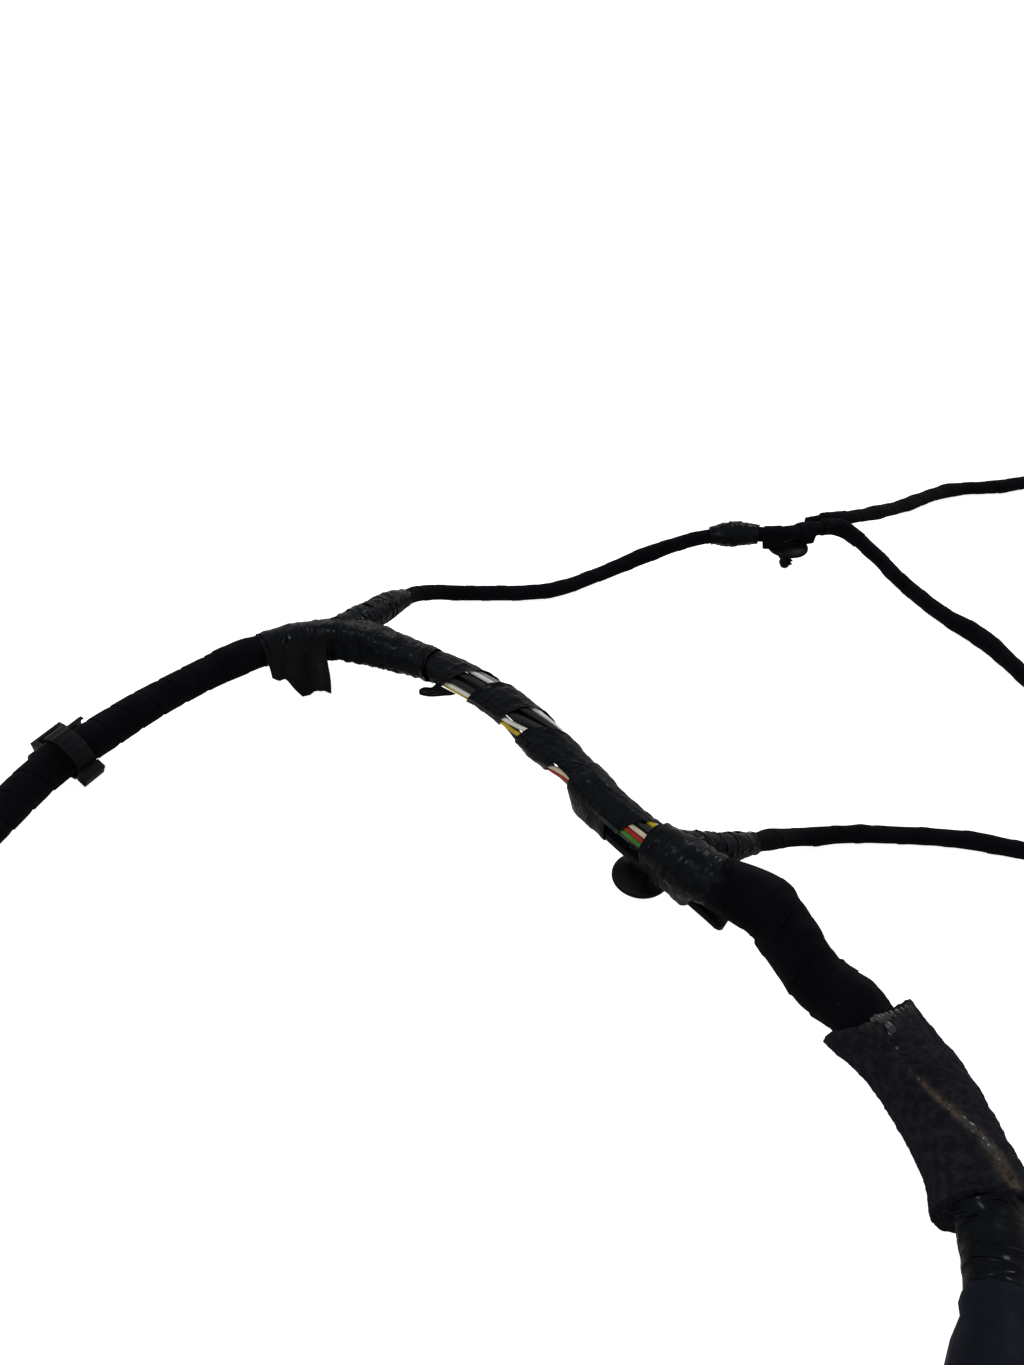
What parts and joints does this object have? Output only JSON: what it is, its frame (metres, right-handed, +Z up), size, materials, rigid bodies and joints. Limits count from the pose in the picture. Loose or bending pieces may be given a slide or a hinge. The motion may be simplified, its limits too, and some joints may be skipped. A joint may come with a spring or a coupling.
{
  "type": "wiring harness",
  "caption": "Taped vehicle wiring harness: a thick trunk with three thinner branches, an open tape spiral over coloured wires, stud clips, a band clip, a foam sleeve and plugs.",
  "frame": {"origin": "on the surface that the harness lies on, under the middle of the trunk's box; the branches are left out of that box", "axes": "+X along the trunk's chord, from the rectangular plug to the round plug; +Y towards the side that the branches leave from; +Z up"},
  "size_m": [0.3938, 0.6151, 0.0359],
  "materials": {
    "cloth_tape": "matte woven tape",
    "vinyl_tape": "creased, half gloss",
    "fleece_tape": "matte felt",
    "foam": "open cell, dusty",
    "black_plastic": "moulded satin",
    "grey_plastic": "moulded satin",
    "rubber": "smooth",
    "insulation_black": "satin insulation",
    "insulation_grey": "satin insulation",
    "insulation_white": "satin insulation",
    "insulation_yellow": "satin insulation",
    "insulation_cream": "satin insulation",
    "insulation_red": "satin insulation",
    "insulation_green": "satin insulation",
    "insulation_brown": "satin insulation",
    "insulation_teal": "satin insulation",
    "insulation_blue": "satin insulation"
  },
  "bodies": {
    "root": {"wire_grey": "insulation_grey", "wire_white_upper": "insulation_white", "wire_black_heavy_1": "insulation_black", "wire_black_heavy_2": "insulation_black", "wire_white": "insulation_white", "wire_yellow": "insulation_yellow", "wire_black_heavy_3": "insulation_black", "wire_cream": "insulation_cream", "wire_red": "insulation_red", "wire_green": "insulation_green", "wire_brown": "insulation_brown", "wire_branch_a_feed": "insulation_black", "wire_teal": "insulation_teal", "wire_branch_a_return": "insulation_black", "wire_blue": "insulation_blue", "wire_black": "insulation_black", "power_cable": "insulation_black", "cloth_wrap_left": "cloth_tape", "band_clip_base": "black_plastic", "band_clip_strap": "black_plastic", "spiral_tape": "vinyl_tape", "breakout_a_wrap": "vinyl_tape", "tape_flag": "fleece_tape", "trunk_stud_clip": "black_plastic", "clip_tape_front": "vinyl_tape", "breakout_b_wrap": "vinyl_tape", "cloth_wrap_right": "cloth_tape", "foam_sleeve": "foam", "end_tape": "vinyl_tape", "left_plug_housing": "black_plastic", "left_plug_lock": "grey_plastic", "left_plug_seal": "rubber", "left_plug_cover": "black_plastic", "right_plug_housing": "black_plastic", "right_plug_lock": "grey_plastic", "right_plug_seal": "rubber", "end_boot": "rubber", "branch_a": "cloth_tape", "branch_a1": "cloth_tape", "branch_b": "cloth_tape", "branch_joint_wrap": "vinyl_tape", "branch_stud_clip": "black_plastic", "branch_clip_tape_1": "vinyl_tape", "branch_clip_tape_2": "vinyl_tape", "split_wrap": "cloth_tape", "branch_a_plug_grommet": "rubber", "branch_a_plug_housing": "black_plastic", "branch_a_plug_lock": "grey_plastic", "branch_a_plug_seal": "rubber", "branch_a1_plug_grommet": "rubber", "branch_a1_plug_housing": "black_plastic", "branch_a1_plug_lock": "grey_plastic", "branch_a1_plug_seal": "rubber", "branch_b_plug_grommet": "rubber", "branch_b_plug_housing": "black_plastic", "branch_b_plug_lock": "grey_plastic", "branch_b_plug_seal": "rubber"}
  },
  "joints": []
}
